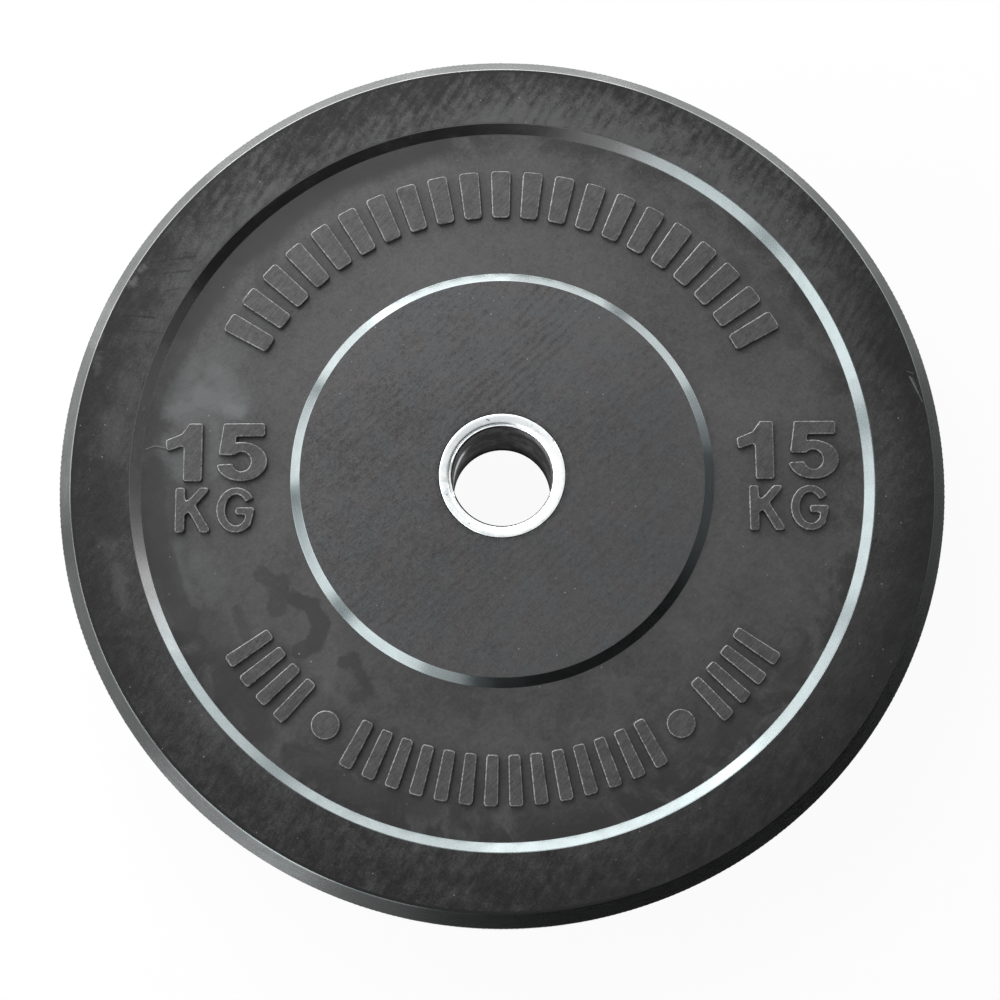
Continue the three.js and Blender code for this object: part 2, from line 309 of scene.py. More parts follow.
rimRubber = dict(
    hubRubber, dark=0, light=0.062, clothTurn=math.radians(57), wrinkles=0.26, fineLines=0.1,
    broadLines=0.22, broadLong=10 * mm, broadWide=3.6 * mm, mottle=0.24, cloud=0.13, grain=0.12, wrap=0.035,
    wrapPitch=5.4 * mm, wrapped=[(-150, 150, 40, 205, 40, 1), (40, 205, 190, 90, 40, 0.7)], relief=0.15 * mm,
    cloudSize=45 * mm, mottleSize=12 * mm, glossLow=0.4, glossHigh=0.56, specular=0.25,
    contrast=(0.48, 1.15, 0.85), lift=(-0.094, -0.01, 0.2 * plateRadius, 0.85 * plateRadius), edge=0.5,
    grime=0, shade=0.075, calm=(200 * mm, 276 * mm, 1, 0.6), fadeSides=0.085, fadeTop=0.06,
    warm=(0.975, 1.015, 0.985, 1), cool=(1, 1, 1.02, 1),
    scuffs=[(-194.5, 83.7, -178.6, 82.7, 0.45, 0.9), (-191.2, 75.8, -172.2, 74.2, 0.3, 0.7),
            (-181.1, 112.1, -158, 115.3, 0.4, 0.8), (-181.9, 105.1, -160.4, 107.8, 0.35, 0.7),
            (-178, 96, -166, 98, 0.3, 0.6)],
    patches=[(-184, 92, -176, 95, 3.5, 0.5), (-193, 79, -182, 77, 2.5, 0.35), (-204, 5, -199, -26, 5, 0.5),
             (-196, -84, -184, -108, 5, 0.45), (-140, -148, -120, -164, 5, 0.35),
             (-30, -202, -6, -203, 5, 0.3), (-205, 52, -201, 36, 4, 0.4), (-199, -3, -196, -25, 9, 0.45)],
    smears=[(-186.5, 109, -190, 101, 0.6, 0.6), (-205.3, 70.5, -206.2, 53.5, 0.8, 0.35),
            (-192, -48, -188, -66, 3, 0.25), (-199, 31, -196, 13, 5, 0.14), (-198.4, -33, -195, -37, 3, 0.22),
            (-193, 50, -190, 44, 3.5, 0.12), (-150, -118, -138, -132, 3, 0.2)],
    # a dent by the rim's outer edge: real, but its pale look is a painted highlight
    nickHighlights=[(207.6, 51.4, 211.7, 42.5, 0.3, 0.7), (211.7, 42.5, 213.6, 38, 0.25, 0.4),
           (206.4, 54.1, 209.6, 53, 0.15, 0.5), (208.6, 50.4, 210.4, 46, 0.7, 0.25)])


def clothRubberFinish(name, v):
    finish, shader, place = startFinish(name)
    wrinkles = noise(place, 1.7 * mm, 3, 0.68, 1.3)
    fine = clothLines(place, v["clothTurn"], 3.6 * mm, 0.85 * mm)
    broad = clothLines(place, v["clothTurn"], v["broadLong"], v["broadWide"])
    mottle = noise(place, v["mottleSize"], 5, 0.62, 0.8)
    cloud = noise(place, v["cloudSize"], 4, 0.55, 0.6)
    grain = noise(place, 0.9 * mm, 2, 0.7)
    reach, x, y, _ = reachFromBore(place)
    # coarse tones count by their contrast: the middle's, more towards the top and towards the bottom
    middle, top, bottom = v["contrast"]
    contrast = plus(remap(y, 0.25 * plateRadius, 0.8 * plateRadius, middle, top),
                    remap(y, -0.3 * plateRadius, -0.8 * plateRadius, 0, bottom - middle))
    coarse = sumOf((wrinkles, v["wrinkles"]), (broad, v["broadLines"]), (mottle, v["mottle"]),
                   (cloud, v["cloud"]))
    even = 0.5 * (v["wrinkles"] + v["broadLines"] + v["mottle"] + v["cloud"])
    evenSmall = 0.5 * (v["fineLines"] + v["grain"])
    small = minus(sumOf((fine, v["fineLines"]), (grain, v["grain"])), evenSmall)
    # all of it is calmer towards the lower right, which x minus y measures
    calm = remap(minus(x, y), *v["calm"])
    skin = times(plus(times(minus(coarse, even), contrast), small), calm)
    # the upper left is darker, most along its inner edge
    shade = times(remap(x, 20 * mm, -70 * mm, 0, -v["shade"]),
                  remap(y, 0.52 * plateRadius, 0.8 * plateRadius))
    shade = times(shade, remap(reach, *v["shadeReach"], 0.4, 1))
    # the outer edge is darker and the inner edge lighter, most at the top, with a dark line beside the bevel
    # on the left
    fade = calc("MULTIPLY_ADD", y, v["fadeTop"] / plateRadius, v["fadeSides"])
    inward = times(remap(reach, *v["fadeReach"], -0.5, 0.5), fade)
    edge = times(remap(reach, *v["edgeReach"], 0, -v["edge"]), remap(x, 90 * mm, -30 * mm))
    # painted light: the face is lighter towards the top and darker towards the bottom, as the light falls
    # from above
    lowPaintedLight, highPaintedLight, paintedLightFrom, paintedLightTo = v["lift"]
    lift = remap(y, paintedLightFrom, paintedLightTo, lowPaintedLight + even + evenSmall, highPaintedLight + even + evenSmall)
    speckle = remap(noise(place, 1.4 * mm, 2, 0.7), 0.4, 0.56, 0.2, 1)
    grime = times(remap(reach, *v["grimeReach"], 0, -v["grime"]), speckle)
    shown = strokes(place, faceTop, v["wrapped"], 9, wanderOf(place, 30 * mm, 24 * mm))
    wrap = times(wrapLines(place, v["clothTurn"], v["wrapPitch"]), shown)
    tone = sumOf((skin, 1), (inward, 1), (lift, 1), (edge, 1), (grime, 1), (shade, 1), (wrap, -v["wrap"]))
    dark = grey(v["dark"])
    coloured = blend(remap(tone, 0.36, 0.64), dark, grey(v["light"]))
    tinge = blend(remap(noise(place, 14 * mm, 4, 0.6), 0.42, 0.58), v["warm"], v["cool"])
    coloured = addNode(tinge, "ShaderNodeMix", {"Factor": 1, 6: coloured, 7: tinge},
                       data_type="RGBA", blend_type="MULTIPLY").outputs[2]
    coloured = blend(specks(place, 0.6, cloud), coloured, grey(v["fleck"], 1.03))
    if v["scuffs"]:
        wide, narrow = wanderOf(place, 12 * mm, 22 * mm), wanderOf(place, 6 * mm, 3 * mm)
        for kind, softness, wander, colour in (
                ("smears", 2.4, wide, grey(v["smear"], 1.02)), ("patches", 2.6, wide, dark),
                ("scuffs", 0.5, narrow, dark), ("nickHighlights", 0.15, 0, grey(v["nickHighlight"], 1.03))):
            coloured = blend(strokes(place, faceTop, v[kind], softness, wander), coloured, colour)
    feed(shader, {
        "Base Color": coloured, "Roughness": remap(tone, 0.3, 0.7, v["glossHigh"], v["glossLow"]),
        "Specular IOR Level": v["specular"],
        "Normal": bumps((wrinkles, v["relief"]), (fine, 0.02 * mm), (broad, 0.02 * mm))})
    return finish


# Web: smoother and greyer, with bloom in soft clouds, and painted light and shade by where it lies.
# Lists place what shows: the dark stains that moisture left, pale dust, painted shadow along the
# web's outer edge under the rim with darker patches further round, and a thin raised flash line
# drawn as a painted shade line with a painted highlight beside it.
webRubber = {
    "dark": 0.01, "low": 0.008, "high": 0.076, "dust": 0.115, "fleck": 0.3, "flashGlint": 0.2,
    # inner, outer, bottom and top are painted light and shade: the web lighter inwards and towards the top,
    # darker along its outer edge and towards the bottom
    "bloomSize": 60 * mm, "inner": 0.03, "outer": -0.11, "bottom": -0.06, "top": 0.03,
    "stains": [
        (-104, -62.3, -94.9, -66.3, 4.2, 0.75), (-94.9, -66.3, -90.7, -76.4, 4.6, 0.75),
        (-90.7, -76.4, -94.5, -85.5, 4.6, 0.75), (-94.5, -85.5, -100.4, -89.5, 4.2, 0.7),
        (-79.4, -94.5, -74.5, -92.5, 3.2, 0.7), (-74.5, -92.5, -66.3, -108.5, 2.6, 0.7),
        (-66.3, -108.5, -72.2, -112.5, 3.4, 0.65), (-121.3, -50.1, -112.1, -55.2, 4, 0.55),
        (-112.1, -55.2, -111.9, -67.4, 4.8, 0.55), (-81.5, -155.8, -66.6, -161.7, 4.6, 0.6),
        (-137.8, -109.5, -135, -107.5, 5, 0.65), (-123.7, -116.4, -119.5, -127.3, 6, 0.5),
        (-102.4, -141.1, -87.5, -148, 6.5, 0.5), (-153.8, -69.4, -155.5, -81.5, 2.6, 0.6),
        (-171.5, -38.1, -158.9, -76.3, 5.5, 0.6), (-120, 132, -122.5, 104.5, 5.5, 0.45),
        (119, 116, 124.5, 106, 5, 0.4), (42, 158, 46, 152, 3.5, 0.4), (142, 92, 150, 72, 5, 0.3),
        (-177.5, 4, -173.5, -38, 6, 0.6), (-133, -68, -126, -88, 2.4, 0.45),
        (-139, -92, -132, -103, 5.5, 0.5), (-129, -112, -122, -122, 4.5, 0.45),
        (-88, -150, -77, -154, 5, 0.6), (113, -129, 123, -119, 7, 0.5), (139, -107, 148, -97, 5, 0.45)],
    "dusts": [
        (-139.5, 37, -134.5, 35.8, 4.5, 1), (-155, 42.5, -137, 37, 7.5, 0.66), (-167, 34, -152, 43, 5, 0.6),
        (-146, 55, -142, 46, 6, 0.5), (-160, 38, -142, 42, 11, 0.4), (-162, 48, -158, 58, 5, 0.36),
        (-147, 28, -147, 4, 4, 0.42), (-168.5, 16, -164, 4, 4.5, 0.5), (-146, 60, -126.7, 77, 8, 0.2),
        (-152, -44, -144, -56, 6, 0.16), (-163.8, -37, -158, -57, 3, 0.3)],
    # painted shadow of the rim along the web's outer edge at the upper left, then darker patches further
    # round the edge
    "edgeShadowsAndStains": [
        (-31, 178, -90, 156, 5.5, 0.95), (-90, 156, -138, 115, 6.5, 1), (-138, 115, -163, 76, 6, 0.85),
        (-163, 76, -179, 16, 6, 0.6), (-133, -118, -118, -131, 6, 0.6), (-58, -161, -36, -167, 6, 0.6),
        (-174, 8, -166, -58, 10, 0.55), (-148, -76, -119, -116, 10, 0.4)],
    # a thin raised flash line: a painted shade line along it and a painted highlight beside it
    "flashShadeLines": [(-181.4, 13.2, -176.4, 15.3, 0.3, 0.8), (-176.4, 15.3, -169.3, 13.7, 0.3, 0.8)],
    "flashGlints": [(-181, 14.4, -176.4, 16.2, 0.15, 0.6), (-176.4, 16.2, -170, 14.8, 0.15, 0.6)],
}


def webRubberFinish():
    v = webRubber
    finish, shader, place = startFinish("webRubber")
    bloom = noise(place, v["bloomSize"], 5, 0.55, 0.4)
    lines = clothLines(place, math.radians(43), 7 * mm, 1.3 * mm)
    mottle = noise(place, 4 * mm, 5, 0.65, 0.8)
    grain = noise(place, 1.1 * mm, 3, 0.7, 0.8)
    reach, _, y, _ = reachFromBore(place)
    patchy = remap(noise(place, 24 * mm, 4, 0.6, 0.8), 0.4, 0.58, 0.4, 1.5)
    # painted light and shade, in patches: darker along the outer edge under the rim and towards the bottom,
    # lighter towards the top
    paintedEdgeShade = times(remap(reach, 160 * mm, 185 * mm, 0, v["outer"] - v["inner"]), patchy)
    below = times(remap(y, 0, -140 * mm, 0, v["bottom"]), patchy)
    above = remap(y, 60 * mm, 150 * mm, v["inner"], v["inner"] + v["top"])
    # the grain is fainter below the hub
    grained = times(minus(grain, 0.5), remap(y, 20 * mm, -80 * mm, 0.38, 0.2))
    tone = sumOf((paintedEdgeShade, 1), (below, 1), (above, 1), (bloom, 0.3), (lines, 0.08), (mottle, 0.24),
                 (grained, 1))
    coloured = blend(remap(tone, 0.05, 0.57), grey(v["low"]), grey(v["high"]))
    level = middleHeight + webHeight
    # painted shadow under the upper left of the rim, and darker patches round the edge
    edgeShadowAndStainShare = strokes(place, level, v["edgeShadowsAndStains"], 3.4, wanderOf(place, 20 * mm, 8 * mm))
    coloured = blend(edgeShadowAndStainShare, coloured, grey(v["dark"]))
    dusted = strokes(place, level, v["dusts"], 4.6, wanderOf(place, 9 * mm, 15 * mm))
    coloured = blend(dusted, coloured, grey(v["dust"], 1.02, 0.93))
    stainsAndFlashShade = strokes(place, level, v["stains"], 1.2, wanderOf(place, 9 * mm, 9 * mm))
    # the flash line's painted shade joins the stains
    stainsAndFlashShade = larger(stainsAndFlashShade, strokes(place, level, v["flashShadeLines"], 0.12, 0))
    coloured = blend(stainsAndFlashShade, coloured, grey(v["dark"]))
    coloured = blend(specks(place, 0.22, bloom), coloured, grey(v["fleck"], 1.03))
    # the flash line's painted highlight
    coloured = blend(strokes(place, level, v["flashGlints"], 0.12, 0), coloured, grey(v["flashGlint"], 1.02))
    feed(shader, {
        "Base Color": coloured, "Roughness": remap(bloom, 0.35, 0.7, 0.46, 0.58), "Specular IOR Level": 0.36,
        "Normal": bumps((bloom, 0.08 * mm), (mottle, 0.03 * mm), (grain, 0.012 * mm))})
    return finish


# Raised marks: the web's rubber, coarser, on their tops, and pale along the rounded edge, partly wear and
# partly a painted highlight
markTopRubber = {"dark": 0.014, "light": 0.073, "gloss": 0.38, "specular": 0.4, "evenness": 0.19}
markEdgeWearAndHighlight = {"dark": 0.03, "light": 0.25, "gloss": 0.2, "specular": 0.75, "evenness": 0.1}


def markRubberFinish(name, v):
    finish, shader, place = startFinish(name)
    mottle = noise(place, 7 * mm, 4, 0.6, 0.8)
    lines = clothLines(place, math.radians(48), 5 * mm, 0.8 * mm)
    grain = noise(place, 1.1 * mm, 3, 0.7, 0.8)
    tone = sumOf((mottle, 0.3), (lines, 0.35), (grain, 0.35))
    share = remap(tone, 0.5 - v["evenness"], 0.5 + v["evenness"])
    feed(shader, {
        "Base Color": blend(share, grey(v["dark"]), grey(v["light"])),
        "Roughness": remap(mottle, 0.3, 0.7, v["gloss"] + 0.12, v["gloss"]),
        "Specular IOR Level": v["specular"],
        "Normal": bumps((mottle, 0.07 * mm), (lines, 0.03 * mm), (grain, 0.05 * mm))})
    return finish


# Slopes and edges: the mould was polished here, so they shine, and the cool colour of what they
# mirror is painted in through their specular tint
polishedRubber = {
    "dark": 0.006, "light": 0.011, "gloss": 0.2, "coatGloss": 0.16, "wave": 30 * mm, "dust": 0.058,
    "dustRise": 2 * mm, "paintedCoolReflection": (0.72, 0.96, 1, 1), "paintedDullReflection": grey(0.8), "paintedDullFrom": 150 * mm,
    "dusts": [(-161, 93, -174.5, 63.5, 6, 0.6), (-174.5, 63.5, -183, 38, 7, 1),
              (-183, 38, -186, 12, 6, 0.8), (-186, 12, -186.5, -12, 6, 0.6)],
}


def polishedRubberFinish():
    v = polishedRubber
    finish, shader, place = startFinish("polishedSlopeRubber")
    wave = noise(place, v["wave"], 3)
    smear = noise(place, 9 * mm, 4, 0.6, 0.4)
    plain = blend(wave, grey(v["dark"]), grey(v["light"]))
    level = middleHeight + webHeight + v["dustRise"]
    dusted = strokes(place, level, v["dusts"], 5, wanderOf(place, 12 * mm, 12 * mm))
    # painted reflection colour: the specular tint is cool, but greyer and dimmer over the upper left of the
    # rim
    reach, x, y, _ = reachFromBore(place)
    dullReflectionShare = remap(minus(y, x), 50 * mm, 140 * mm)
    dullReflectionShare = times(dullReflectionShare, calc("GREATER_THAN", reach, v["paintedDullFrom"]))
    feed(shader, {
        "Base Color": blend(dusted, plain, grey(v["dust"])),
        "Roughness": remap(smear, 0.35, 0.7, v["gloss"], v["gloss"] + 0.08), "Specular IOR Level": 1,
        "Specular Tint": blend(dullReflectionShare, v["paintedCoolReflection"], v["paintedDullReflection"]),
        "Coat Weight": 1, "Coat Roughness": v["coatGloss"], "Coat IOR": 1.6,
        "Normal": bumps((wave, 0.03 * mm))})
    return finish


# Bevel and tread: satin black, rubbed in streaks round the edge. They are noise on a place drawn
# out along the way round: x and y over a long step, reach less height over a short one.
treadRubber = {"dark": 0.001, "light": 0.014, "long": 22 * mm, "wide": 1.1 * mm, "glossLow": 0.22,
               "glossHigh": 0.38}


def treadRubberFinish():
    v = treadRubber
    finish, shader, place = startFinish("scuffedTreadRubber")
    reach, x, y, z = reachFromBore(place)
    across = calc("DIVIDE", minus(reach, z), v["wide"])
    inputs = {0: calc("DIVIDE", x, v["long"]), 1: calc("DIVIDE", y, v["long"]), 2: across}
    wound = addNode(place, "ShaderNodeCombineXYZ", inputs)
    streak = noise(wound.outputs[0], 1, 4, 0.6, 0.3)
    scuff = noise(place, 10 * mm, 6, 0.65, 0.5)
    grain = noise(place, 0.8 * mm, 2)
    tone = sumOf((streak, 0.4), (scuff, 0.35), (grain, 0.25))
    feed(shader, {
        "Base Color": blend(remap(tone, 0.35, 0.65), grey(v["dark"]), grey(v["light"])),
        "Roughness": remap(tone, 0.35, 0.65, v["glossHigh"], v["glossLow"]),
        # painted reflection colour: a slightly cool specular tint
        "Specular IOR Level": 0.66, "Specular Tint": (0.93, 0.99, 1, 1),
        "Normal": bumps((streak, 0.06 * mm), (scuff, 0.05 * mm), (grain, 0.02 * mm))})
    return finish


# Zinc plate on turned steel: bright, with fine rings from the lathe and small pits
platedSteel = {
    "bright": 0.86, "dull": 0.6, "gloss": 0.26, "ringPitch": 0.4 * mm, "pit": 0.12,
    "pits": [(-7.8, 28.9, -6.6, 28.5, 0.4, 0.9), (-27.9, -9.8, -27.6, -10.4, 0.3, 0.8),
             (-16.9, -24.6, -16.2, -25.2, 0.3, 0.8), (25.6, 18.4, 26.1, 17.4, 0.3, 0.6),
             (-5.6, 27.2, -3, 27.6, 0.25, 0.5)],
}


def platedSteelFinish():
    v = platedSteel
    finish, shader, place = startFinish("platedSteel")
    reach, x, y, z = reachFromBore(place)
    ridge = calc("SINE", times(plus(reach, z), turn / v["ringPitch"]))
    cloud = noise(place, 7 * mm, 6, 0.65, 1)
    pitted = strokes(place, faceTop - sleeve["setback"], v["pits"], 0.2, wanderOf(place, 1 * mm, 0.6 * mm))
    # duller in clouds, and darker along the top, a painted shade
    paintedTopShade = times(remap(minus(y, times(x, 0.4)), 10 * mm, 30 * mm),
                  remap(cloud, 0.3, 0.55, 0.3, 0.8))
    plain = blend(larger(remap(cloud, 0.42, 0.66), paintedTopShade), grey(v["bright"], 1, 0.98),
                  grey(v["dull"], 1.02, 0.94))
    feed(shader, {
        "Base Color": blend(pitted, plain, grey(v["pit"])), "Metallic": 1,
        "Roughness": remap(cloud, 0.35, 0.7, v["gloss"], v["gloss"] + 0.15),
        "Normal": bumps((ridge, 0.0015 * mm), (calc("MULTIPLY_ADD", pitted, -1, 1), 0.1 * mm))})
    return finish


# Inside of the bore: steel blackened by oil, with faint rings, and one long streak of bright steel,
# partly rubbed by the bar and partly a painted highlight. The streak runs down the wall from turn to
# turn: angle in degrees, height in millimetres, strength.
boreSteel = {
    "dark": 0.002, "light": 0.012, "rubGlintTone": 0.85, "rubGlintHalf": 3, "rubGlintSoft": 2.6, "specularLow": 0.001,
    "specularHigh": 0.024, "rubGlintPath": [(140, 41.5, 0.15), (146, 40, 0.8), (151, 38.5, 0.9), (158, 35, 0.7),
                                       (166, 31, 0.4), (173, 25, 0)],
}


def boreSteelFinish():
    v = boreSteel
    finish, shader, place = startFinish("oiledBoreSteel")
    rings = noise(layOut(place, 0, (22 * mm, 22 * mm, 1.1 * mm)), 1, 4, 0.6)
    cloud = noise(place, 9 * mm, 4, 0.6, 0.5)
    tone = sumOf((rings, 0.4), (cloud, 0.6))
    oiled = blend(remap(tone, 0.4, 0.68), grey(v["dark"]), grey(v["light"], 1.1))
    corners = [turned(sleeve["bore"], height * mm, math.radians(angle)) for angle, height, _ in v["rubGlintPath"]]
    rubGlints = []
    for start, end, (_, _, strength) in zip(corners, corners[1:], v["rubGlintPath"]):
        gap = strokeDistance(place, start, end)
        rubGlints.append(remap(gap, (v["rubGlintHalf"] + v["rubGlintSoft"]) * mm, v["rubGlintHalf"] * mm / 2, 0, strength))
    # bright steel shows in the streak, and near the mouth on the right the wall is brighter in patches:
    # painted light falling in at the mouth
    x, _, z = axesOf(place)
    worn = times(remap(z, 46 * mm, 61 * mm, 0, 0.16), remap(x, -6 * mm, 22 * mm, 0.05, 1))
    bright = larger(reduce(larger, rubGlints), times(worn, remap(tone, 0.4, 0.6, 0.4, 1.6)))
    feed(shader, {"Specular IOR Level": v["specularHigh"]})  # what is left where a ramp isn't kept
    # painted shade: the reflections weaken from the middle towards the back end of the bore
    feed(shader, {
        "Base Color": blend(bright, oiled, grey(v["rubGlintTone"], 1.05)), "Metallic": bright,
        "Roughness": remap(cloud, 0.35, 0.7, 0.55, 0.4),
        "Specular IOR Level": remap(z, 6 * mm, 30 * mm, v["specularLow"], v["specularHigh"]),
        "Normal": bumps((rings, 0.01 * mm))})
    return finish


# Metal inside the rubber: mill scale on the ring, ripples on the weld
def buriedMetalFinish(name, dark, light, size, gloss):
    finish, shader, place = startFinish(name)
    scale = noise(place, size, 6, 0.65, 0.3)
    feed(shader, {
        "Base Color": blend(remap(scale, 0.35, 0.65), grey(dark), grey(light)), "Metallic": 1,
        "Roughness": remap(scale, 0.3, 0.7, gloss, gloss + 0.2), "Normal": bumps((scale, 0.15 * mm))})
    return finish


hubFaceRubber = clothRubberFinish("clothMarkedHubRubber", hubRubber)
rimBandRubber = clothRubberFinish("clothMarkedRimRubber", rimRubber)
plainWebRubber = webRubberFinish()
mottledMarkRubber = markRubberFinish("raisedMarkRubber", markTopRubber)
# the pale rounded edge of the marks: partly wear, partly a painted highlight
wornEdgeAndHighlightRubber = markRubberFinish("wornEdgeAndHighlightRubber", markEdgeWearAndHighlight)
shinyRubber = polishedRubberFinish()
scuffedRubber = treadRubberFinish()
brightSteel = platedSteelFinish()
darkBoreSteel = boreSteelFinish()
scaleSteel = buriedMetalFinish("millScaleSteel", 0.16, 0.36, 6 * mm, 0.45)
weldMetal = buriedMetalFinish("weldMetal", 0.12, 0.3, 1.5 * mm, 0.5)
print("bumper plate: finishes made")


# The rubber disc, as half of its section from the tread inwards: radius, height, corner radius
disc = {
    "toothDepth": 0.45 * mm, "bevelWidth": 7.2 * mm, "bevelDepth": 7.8 * mm, "rimBand": 29.5 * mm,
    "rimStep": 5.1 * mm, "hubRadius": 102.4 * mm, "hubStep": 5 * mm, "hubSetback": 0.75 * mm,
    "pocketRadius": 32.2 * mm, "weldLeg": 5.3 * mm, "anchorRadius": 75.3 * mm, "anchorHalf": 3 * mm,
    "angles": 420, "longestStep": 9 * mm, "shortStep": 0.35 * mm, "waves": 7, "waveHeight": 0.08 * mm,
    "waveReach": 0.1 * mm, "stillHalf": 20 * mm, "stillEdge": 2 * mm,
}
rimOuter = plateRadius - disc["bevelWidth"]
rimInner = rimOuter - disc["rimBand"]
webOuter = rimInner - disc["rimStep"]
webInner = disc["hubRadius"] + disc["hubStep"]
bevelFoot = faceHeight - disc["bevelDepth"] * (1 - disc["toothDepth"] / disc["bevelWidth"])


def makeDisc():
    v = disc
    hubHeight = faceHeight - v["hubSetback"]
    half = np.array([
        [plateRadius - v["toothDepth"], bevelFoot, 0.4 * mm],
        [rimOuter, faceHeight, 0.9 * mm], [rimInner, faceHeight, 1.2 * mm],
        [webOuter, webHeight, 0.6 * mm], [webInner, webHeight, 0.6 * mm],
        [v["hubRadius"], hubHeight, 0.45 * mm], [v["pocketRadius"], hubHeight, 0.25 * mm],
        [v["pocketRadius"], v["anchorHalf"] + v["weldLeg"], 0.3 * mm],
        [v["pocketRadius"] + v["weldLeg"], v["anchorHalf"], 0.3 * mm],
        [v["anchorRadius"], v["anchorHalf"], 0.3 * mm]])
    corners = np.concatenate([half[::-1] * [1, -1, 1], half])
    outline = cutLongSides(roundCorners(corners[:, :2], corners[:, 2], 7), v["longestStep"], v["shortStep"])
    radius, height = outline[:, 0, None], outline[:, 1, None]
    angle = np.linspace(0, turn, v["angles"], endpoint=False)[None, :]
    # slow swells: a few cosine waves round the bore and across the radius, never above the true face
    swell = sum(
        np.cos(dice.integers(2, 15) * angle + dice.uniform(20, 90) * radius + dice.uniform(0, turn))
        for _ in range(v["waves"])) / v["waves"]
    outside = np.clip((np.abs(height) - v["stillHalf"]) / v["stillEdge"], 0, 1)
    height = height - np.sign(height) * outside * v["waveHeight"] * (0.5 + 0.5 * swell)
    radius = radius + v["waveReach"] * swell * outside * (radius < rimOuter - v["stillEdge"])
    points = turned(radius, height + middleHeight, angle)
    # each ring of quads takes its finish by where its middle lies, a hair either side of a corner
    after = np.roll(outline, -1, axis=0)
    centre, step = (outline + after) / 2, np.abs(after - outline)
    onFace = np.abs(centre[:, 1]) > webHeight - 0.2 * mm
    sloping = onFace & (step[:, 1] > 0.4 * step[:, 0]) & (centre[:, 0] > v["anchorRadius"])
    zone = np.where(centre[:, 0] > rimInner - 1 * mm, 1, 0)
    zone[onFace & (centre[:, 0] > webInner - 0.1 * mm) & (centre[:, 0] < webOuter + 0.1 * mm)] = 2
    zone[centre[:, 0] > rimOuter] = 4
    zone[sloping & (centre[:, 0] < rimOuter + 0.45 * mm)] = 3
    makePiece(
        "rubber_disc", points.reshape(-1, 3), ringQuads(len(outline), v["angles"]),
        [hubFaceRubber, rimBandRubber, plainWebRubber, shinyRubber, scuffedRubber],
        finishOfQuad=np.repeat(zone, v["angles"]))


makeDisc()

# The tread's ribs: a thin ring sunk into the disc, whose outer side rises in small teeth that the
# bevels cut off at both ends
tread = {"pitch": 2.8 * mm, "sunk": 1.4 * mm, "valley": 0.05 * mm, "tooth": [0, 0.15, 0.85, 1, 0.85, 0.15]}


def makeTread():
    v = tread
    samples = len(v["tooth"])
    toothHeight = faceHeight - disc["bevelDepth"]
    teeth = round(turn * plateRadius / v["pitch"])
    angle = np.linspace(0, turn, teeth * samples, endpoint=False)[None, :]
    valley = plateRadius - disc["toothDepth"] - v["valley"]
    # some stretches are rubbed lower, most of all the bottom, and no two teeth are quite as high
    uneven = np.repeat(dice.uniform(-1, 1, teeth), samples)
    worn = 0.62 + 0.2 * np.cos(5 * angle + 0.8) * np.cos(9 * angle) + 0.18 * uneven
    worn *= 0.7 + 0.3 * np.cos(angle - math.radians(100))
    outer = valley + (plateRadius - valley) * np.tile(v["tooth"], teeth)[None, :] * worn
    middle = np.linspace(-toothHeight, toothHeight, 5)
    heights = np.concatenate([[-bevelFoot], middle, [bevelFoot, bevelFoot, -bevelFoot]])[:, None]
    flat = np.full_like(outer, valley)
    inner = np.full_like(outer, plateRadius - v["sunk"])
    radius = np.concatenate([flat] + [outer] * len(middle) + [flat, inner, inner])
    points = turned(radius, heights + middleHeight, angle)
    makePiece("tread_ribs", points.reshape(-1, 3), ringQuads(len(heights), angle.size), [scuffedRubber])


makeTread()


# Raised relief. Outlines run counter-clockwise. The wall is the outline moved inwards along its
# corner bisectors by the first number of each pair, at the height above the web of the second.
relief = {
    "wall": np.array([[-0.64, -0.6], [-0.6, -0.02], [-0.44, 0.15], [-0.34, 0.4], [-0.21, 1.95],
                      [-0.14, 2.22], [-0.01, 2.42], [0.18, 2.56], [0.4, 2.6]]) * mm,
    "turned": math.radians(0.25),
}


def inset(outline, distance):
    edge = np.roll(outline, -1, axis=0) - outline
    edge /= np.linalg.norm(edge, axis=1, keepdims=True)
    inward = np.stack([-edge[:, 1], edge[:, 0]], axis=1)
    before = np.roll(inward, 1, axis=0)
    bisector = inward + before
    bisector /= np.maximum(np.sum(bisector * inward, axis=1, keepdims=True), 0.5)
    return outline + distance * bisector


# One closed shell: the wall's rings joined by quads, with a flat face on top and one underneath
def reliefShell(outline):
    count, rings = len(outline), len(relief["wall"])
    points = np.concatenate([
        np.column_stack([inset(outline, distance), np.full(count, webHeight + rise)])
        for distance, rise in relief["wall"]])
    quads = ringQuads(rings, count).reshape(rings, count, 4)[:-1].reshape(-1, 4)
    top = np.arange((rings - 1) * count, rings * count)
    bottom = np.arange(count)[::-1]
    rise = np.repeat(relief["wall"][:-1, 1], count)
    finishOfQuad = np.select([rise < 0.3 * mm, rise < 1.2 * mm], [0, 1], 2)
    return points, quads, [top, bottom], finishOfQuad


def makeRelief(name, outlines):
    points, quads, flats, zones, used = [], [], [], [], 0
    for outline in outlines:
        shellPoints, shellQuads, shellFlats, finishOfQuad = reliefShell(outline)
        points.append(shellPoints)
        quads.append(shellQuads + used)
        flats += [face + used for face in shellFlats]
        zones.append(finishOfQuad)
        used += len(shellPoints)
    zones.append(np.zeros(len(flats), int))
    cosine, sine = math.cos(relief["turned"]), math.sin(relief["turned"])
    placed = np.concatenate(points) @ np.array([[cosine, sine, 0], [-sine, cosine, 0], [0, 0, 1]])
    for side, flip in (("front", 1), ("back", -1)):
        makePiece(f"{name}_{side}", placed * [flip, 1, flip] + [0, 0, middleHeight], np.concatenate(quads),
                  [mottledMarkRubber, shinyRubber, wornEdgeAndHighlightRubber], flats, np.concatenate(zones))


